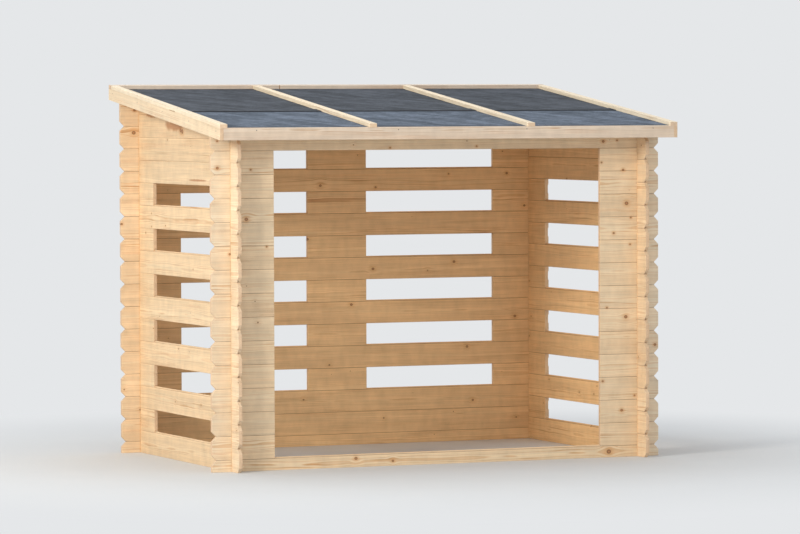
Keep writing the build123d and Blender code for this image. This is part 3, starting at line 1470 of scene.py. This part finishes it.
@dataclass
class Studio:
    """A pale floor, soft lamps and the light of the room.

    Attributes:
        floor_half: Half the width of the floor, in metres.
        room_tone: Tone of the floor and of the room behind it.
        fade_start: Distance at which the floor starts to melt into the room.
        fade_end: Distance at which it has the very tone of the room.
        room_level: Strength of the room's own light.
        room_light: Colour of that light.
        mottle: Brightness of the floor's paint, darkest and palest.
        mottles_a_metre: Noise cells in a metre of the paint.
        lamps: The lamps.
    """

    floor_half: float = 60.0
    room_tone: Tone = Tone(229, 231, 233)
    fade_start: float = 1.6
    fade_end: float = 3.8
    room_level: float = 0.50
    room_light: Colour = (0.93, 0.97, 1.0, 1.0)
    mottle: tuple[float, float] = (0.90, 0.94)
    mottles_a_metre: float = 3.0
    lamps: tuple[Lamp, ...] = (
        Lamp("key_lamp", (-8.4, -4.5, 4.1), 2.4, 515.0, (1.0, 0.945, 0.85)),
        Lamp("fill_lamp", (5.0, -8.0, 3.5), 6.0, 52.0, (1.0, 0.99, 0.98)),
        Lamp("front_lamp", (-2.5, -9.5, 3.2), 5.0, 82.0, (0.98, 0.98, 1.0)),
        Lamp("top_lamp", (0.0, 1.0, 7.5), 6.0, 220.0, (0.96, 0.98, 1.0)),
    )

    def build(self) -> None:
        """Set up the floor, the lamps and the room."""
        self._floor()
        for lamp in self.lamps:
            lamp.build()
        self._room()
        bpy.context.scene.view_settings.view_transform = "Standard"

    def _floor(self) -> None:
        """Lay the floor as one sheet that melts into the tone of the room."""
        h = self.floor_half
        mesh = bpy.data.meshes.new("studio_floor")
        corners = [(-h, -h, 0.0), (h, -h, 0.0), (h, h, 0.0), (-h, h, 0.0)]
        mesh.from_pydata(corners, [], [(0, 1, 2, 3)])
        floor = bpy.data.objects.new("studio_floor", mesh)
        bpy.context.scene.collection.objects.link(floor)
        graph = FinishGraph("studio_floor_paint")
        x, y, _ = graph.split(graph.place())
        cells = graph.vector(x * self.mottles_a_metre, y * self.mottles_a_metre, 0.0)
        cloud = graph.cloud(cells, 3.0)
        paint = graph.shade(self.room_tone, cloud.spread(*self.mottle))
        matt = graph.surface(
            {"Base Color": paint, "Roughness": 0.85, "Specular IOR Level": 0.1}
        )
        glow = graph.node("ShaderNodeEmission", None, {"Color": self.room_tone})
        far = (x * x + y * y).root().rise(self.fade_start, self.fade_end)
        surface = graph.mixed(far * graph.plainly_seen(), matt, glow)
        mesh.materials.append(graph.close(surface))

    def _room(self) -> None:
        """Give the room its pale tone to the camera, and a soft light otherwise."""
        world = bpy.data.worlds.new("studio_room")
        bpy.context.scene.world = world
        world.use_nodes = True
        graph = NodeGraph(world.node_tree)
        light = graph.node(
            "ShaderNodeBackground",
            None,
            {"Color": self.room_light, "Strength": self.room_level},
        )
        wall = graph.node("ShaderNodeBackground", None, {"Color": self.room_tone})
        room = graph.mixed(graph.plainly_seen(), light, wall)
        graph.node("ShaderNodeOutputWorld", None, {"Surface": room})


@dataclass
class StoreCamera:
    """The camera at the photograph's place.

    Attributes:
        place: Where it stands.
        focal_px: Focal length in pixels of an image 800 wide.
        yaw_deg: Turn to the right of straight ahead.
        dip_deg: Tilt below the horizon.
        roll_deg: Turn about its own axis.
        sensor: Width of the sensor, in millimetres.
        reach: Nearest and farthest distance that it shows.
    """

    place: Triple = (-8.967, -21.0875, 1.865)
    focal_px: float = 4341.0
    yaw_deg: float = 23.164
    dip_deg: float = 2.179
    roll_deg: float = -0.1827
    sensor: float = 36.0
    reach: tuple[float, float] = (0.1, 400.0)

    def build(self) -> None:
        """Set the camera up and make it the scene's own."""
        data = bpy.data.cameras.new("store_camera")
        data.sensor_width = self.sensor
        data.lens = self.focal_px / PHOTO_WIDTH * self.sensor
        data.clip_start, data.clip_end = self.reach
        camera = bpy.data.objects.new("store_camera", data)
        turn = (
            Matrix.Rotation(math.radians(-self.yaw_deg), 4, "Z")
            @ Matrix.Rotation(math.radians(90.0 - self.dip_deg), 4, "X")
            @ Matrix.Rotation(math.radians(self.roll_deg), 4, "Z")
        )
        camera.matrix_world = Matrix.Translation(Vector(self.place)) @ turn
        bpy.context.scene.collection.objects.link(camera)
        bpy.context.scene.camera = camera


# The clearest knots and stains of the photo, placed to 5 mm or so.
FRONT_KNOTS = (
    Knot(-1.220, 1.670, 0.005),
    Knot(-1.220, 1.535, 0.008),
    Knot(-1.155, 1.100, 0.006),
    Knot(-1.065, 1.275, 0.010),
    Knot(-1.040, 1.525, 0.005),
    Knot(-0.955, 1.135, 0.005),
    Knot(-0.470, 0.045, 0.009),
    Knot(-0.275, 1.630, 0.005),
    Knot(-0.265, 0.025, 0.007),
    Knot(0.210, 1.635, 0.005),
    Knot(0.925, 1.545, 0.005),
    Knot(0.930, 0.400, 0.006),
    Knot(0.935, 1.655, 0.008),
    Knot(0.955, 0.785, 0.005),
    Knot(0.965, 0.030, 0.013),
    Knot(0.995, 1.175, 0.006),
    Knot(1.015, 1.660, 0.005),
    Knot(1.040, 0.245, 0.008),
    Knot(1.050, 1.505, 0.007),
    Knot(1.065, 0.735, 0.010),
    Knot(1.070, 1.330, 0.011),
    Knot(1.090, 1.115, 0.005),
    Knot(1.095, 1.255, 0.005),
    Knot(1.115, 0.320, 0.005),
    Knot(1.235, 0.585, 0.008),
)
LEFT_KNOTS = (
    Knot(-0.105, 1.005, 0.004),
    Knot(0.045, 1.715, 0.014),
    Knot(0.070, 1.720, 0.012),
    Knot(0.270, 1.670, 0.004),
    Knot(0.305, 1.220, 0.004),
    Knot(0.520, 1.210, 0.004),
    Knot(0.520, 1.280, 0.004),
    Knot(0.610, 1.175, 0.005),
)
LEFT_STAINS = (
    Stain(-0.190, 1.465, 0.150, 0.006),
    Stain(0.160, 1.745, 0.150, 0.030),
    Stain(0.500, 1.800, 0.100, 0.015),
)
BACK_KNOTS = (
    Knot(-1.250, 1.220, 0.006),
    Knot(-1.180, 1.705, 0.011),
    Knot(-1.175, 1.825, 0.007),
    Knot(0.215, 1.400, 0.006),
    Knot(0.650, 1.470, 0.005),
    Knot(1.000, 1.470, 0.007),
)
RIGHT_KNOTS = (
    Knot(-0.635, 0.325, 0.006),
    Knot(-0.125, 0.295, 0.005),
    Knot(-0.085, 0.120, 0.005),
    Knot(0.210, 1.445, 0.005),
)
# Places of the four nails that show on the fascia, sideways.
FASCIA_NAILS = (-1.079, -0.307, 0.410, 1.133)
# Where the walls stand, by the middle of their logs.
SIDE_CORNERS = (-0.6485, 0.7265)
FRONT_CORNERS = (-1.150, 1.150)


@dataclass
class LogStore:
    """The whole store: walls, roof trim, felt, boards and nails.

    Attributes:
        nodes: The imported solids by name.
    """

    nodes: Mapping[str, bpy.types.Object]

    # Timber numbers of the roof, which go on where those of the walls end.
    TRIM_SEED = 71.0
    TRIM_SEED_STEP = 2.3
    BOARD_SEED = 93.0
    # Height of the roof boards once their slope is taken out, to a few centimetres.
    BOARD_HEART = 1.8
    # Nails: depth under the fascia's top, lift above a barge board's middle, and
    # distance from the ends and number on a barge board and on a batten.
    FASCIA_NAIL_DEPTH = 0.014
    BARGE_NAIL_LIFT = 0.010
    BARGE_NAIL_MARGIN = 0.06
    BARGE_NAILS = 5
    BATTEN_NAIL_MARGIN = 0.05
    BATTEN_NAILS = 6

    def build(self) -> None:
        """Build and dress every part of the store."""
        self._walls()
        self._roof()
        self._nails()

    def _walls(self) -> None:
        """Dress the log walls, each in a timber worked out from the front's."""
        front = SpruceFinish(
            "front_timber",
            Axis.SIDEWAYS,
            first_edge=HALF_COURSE,
            seed=1.0,
            # Paler and cooler than the other walls: it stands in for the cool shade on
            # the open front, painted shade.
            early=Tone(238, 216, 183),
            joint_shade=0.55,
            corners=FRONT_CORNERS,
            knots=FRONT_KNOTS,
            knot_radius=0.0045,
        )
        back = replace(
            front,
            name="back_timber",
            seed=17.0,
            # Warmer than the front: painted warm light bounced about inside the store,
            # which the right wall shares.
            early=Tone(243, 204, 153),
            knots=BACK_KNOTS,
            knot_radius=0.008,
        )
        top = replace(
            back,
            name="top_timber",
            seed=31.0,
            first_edge=TOP_LOG_FOOT,
            board_height=TOP_LOG_HEIGHT,
        )
        right = replace(
            back,
            name="right_timber",
            seed=57.0,
            grain=Axis.FRONT_TO_BACK,
            first_edge=0.0,
            corners=SIDE_CORNERS,
            knots=RIGHT_KNOTS,
            knot_radius=0.0065,
        )
        left = replace(
            right,
            name="left_timber",
            seed=41.0,
            early=Tone(240, 214, 177),
            joint_shade=0.20,
            knots=LEFT_KNOTS,
            stains=LEFT_STAINS,
        )
        stubs = tuple(
            f"stubs_{side}_{courses}"
            for side in ("left", "right")
            for courses in ("even", "odd")
        )
        blocks = ("left_blocks", "middle_blocks", "right_blocks")
        sides = (
            "logs", "front_blocks", "rear_blocks", "upper_log", "gable_log", "wedge"
        )
        for timber, prefix, logs in (
            (front, "front_", ("sill", *stubs, "lintel")),
            (back, "back_", ("sill", "first_log", "wall_logs", *blocks)),
            (top, "back_", ("top_log",)),
            (left, "left_wall_", sides),
            (right, "right_wall_", sides),
        ):
            LogWall(tuple(prefix + log for log in logs), timber).build(self.nodes)

    def _roof(self) -> None:
        """Dress the fascia, barge boards, battens and felt, and lay the boards."""
        # One planed spruce in three tones: the duller tone of the fascia and back
        # batten is partly painted shade, and the paler tones of the barge boards and
        # battens are partly painted sunlight.
        planed = (Tone(227, 210, 192), Tone(203, 175, 147))
        bright = (Tone(243, 222, 191), Tone(219, 184, 143))
        pale = (Tone(244, 230, 205), Tone(222, 191, 154))
        x, y, z = Axis.SIDEWAYS, Axis.FRONT_TO_BACK, Axis.UP
        pieces = (
            Trim("roof_fascia", x, z, False, *planed),
            Trim("left_barge_board", y, z, True, *bright),
            Trim("right_barge_board", y, z, True, *bright),
            Trim("left_edge_batten", y, x, True, *pale),
            Trim("right_edge_batten", y, x, True, *pale),
            Trim("middle_battens", y, x, True, *pale, split=0.5),
            Trim("back_batten", x, y, False, *planed),
        )
        for number, piece in enumerate(pieces):
            piece.build(self.nodes, self.TRIM_SEED + number * self.TRIM_SEED_STEP)
        edges = (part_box("felt_upper")[0].y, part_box("felt_lower")[0].y)
        lower = FeltFinish(
            "felt_front_strip", Tone(63, 72, 84), Tone(112, 123, 139), *edges, seed=2.0
        )
        upper = FeltFinish(
            "felt_back_strip", Tone(44, 49, 56), Tone(82, 87, 96), *edges, seed=9.0
        )
        dress(self.nodes["felt_lower"], lower.build())
        dress(self.nodes["felt_upper"], upper.build())
        LOG.info("roof felt: two strips")
        boards = RoofBoards.from_frame()
        timber = SpruceFinish(
            name="spruce_roof_boards",
            grain=y,
            stack=x,
            first_edge=boards.corner[0],
            board_height=boards.width / boards.count,
            heart=self.BOARD_HEART,
            seed=self.BOARD_SEED,
            tilt_deg=ROOF_PITCH_DEG,
        )
        boards.build(timber.build())
        LOG.info("roof boards: %d", boards.count)

    def _nails(self) -> None:
        """Drive the nails of the fascia, barge boards and battens."""
        finish = NailFinish().build()
        low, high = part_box("roof_fascia")
        places = [(x, low.y, high.z - self.FASCIA_NAIL_DEPTH) for x in FASCIA_NAILS]
        front = [NailRow(place, place, 1, (90.0, 0.0, 0.0)) for place in places]
        for nailing in (
            Nailing("fascia_nails", front, seed=5),
            Nailing("barge_nails", self._barge_rows(), seed=8),
            Nailing("batten_nails", self._batten_rows(), seed=13),
        ):
            nailing.build(finish)
            LOG.info("nails: %s", nailing.name)

    def _barge_rows(self) -> list[NailRow]:
        """Return a row of nails for the outer face of each barge board."""
        rows = []
        for name, side in (("left_barge_board", -1), ("right_barge_board", 1)):
            low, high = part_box(name)
            face = low.x if side < 0 else high.x
            ends = (low.y + self.BARGE_NAIL_MARGIN, high.y - self.BARGE_NAIL_MARGIN)
            anchor = (low + high) / 2
            anchor.z += self.BARGE_NAIL_LIFT
            tilt = (0.0, 90.0 * side, 0.0)
            rows.append(self._sloping_row(face, ends, anchor, self.BARGE_NAILS, tilt))
        return rows

    def _batten_rows(self) -> list[NailRow]:
        """Return a row of nails along the top of each batten."""
        left_low, left_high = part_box("left_edge_batten")
        _, right_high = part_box("right_edge_batten")
        mid_low, mid_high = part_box("middle_battens")
        half = (left_high.x - left_low.x) / 2
        centres = (
            left_low.x + half,
            mid_low.x + half,
            mid_high.x - half,
            right_high.x - half,
        )
        margin = self.BATTEN_NAIL_MARGIN
        ends = (left_low.y + margin, left_high.y - margin)
        tilt = (ROOF_PITCH_DEG, 0.0, 0.0)
        return [
            self._sloping_row(centre, ends, left_high, self.BATTEN_NAILS, tilt)
            for centre in centres
        ]

    @staticmethod
    def _sloping_row(
        x: float, ends: tuple[float, float], anchor: Vector, count: int, tilt: Triple
    ) -> NailRow:
        """Lay a row of nails along the roof's slope.

        Args:
            x: Place of the row, sideways.
            ends: Places of its two ends, front to back.
            anchor: A point at the height that the row passes.
            count: How many nails it has.
            tilt: Turn of the nails, in degrees.

        Returns:
            The row.
        """
        slope = math.tan(math.radians(ROOF_PITCH_DEG))
        start, end = ((x, y, anchor.z + slope * (y - anchor.y)) for y in ends)
        return NailRow(start, end, count, tilt)


def main() -> None:
    """Dress the store, then set up the room and the camera."""
    logging.basicConfig(level=logging.INFO, format="%(name)s: %(message)s")
    for leftover in list(bpy.data.objects):
        bpy.data.objects.remove(leftover)
    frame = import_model()
    LogStore(frame["nodes"]).build()
    Studio().build()
    StoreCamera().build()
    LOG.info("scene ready")


if __name__ == "__main__":
    main()
